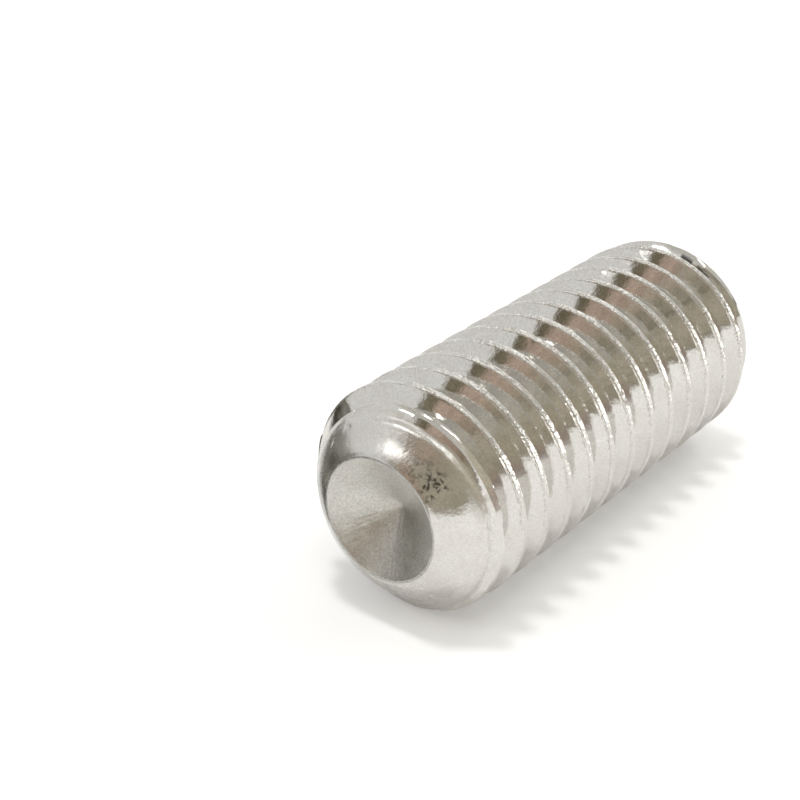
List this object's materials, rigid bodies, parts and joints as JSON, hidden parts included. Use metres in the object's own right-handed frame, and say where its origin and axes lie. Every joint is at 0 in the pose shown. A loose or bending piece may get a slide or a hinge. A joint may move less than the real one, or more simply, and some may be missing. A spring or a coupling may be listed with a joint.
{
  "type": "grub set screw",
  "caption": "Headless set screw with a full-length right-hand thread, a hex socket in one end and a cup point at the other.",
  "frame": {"origin": "middle of the cup's flat rim, the plane that the screw stands on", "axes": "+Z along the screw's axis from the cup point to the socket end; +X through the first thread crest 1.11 mm above the rim, and through two corners of the hex"},
  "size_m": [0.0096, 0.0096, 0.0222],
  "materials": {
    "screw_steel": "bright rolled stainless steel"
  },
  "bodies": {
    "root": {"screw_body": "screw_steel"}
  },
  "joints": []
}
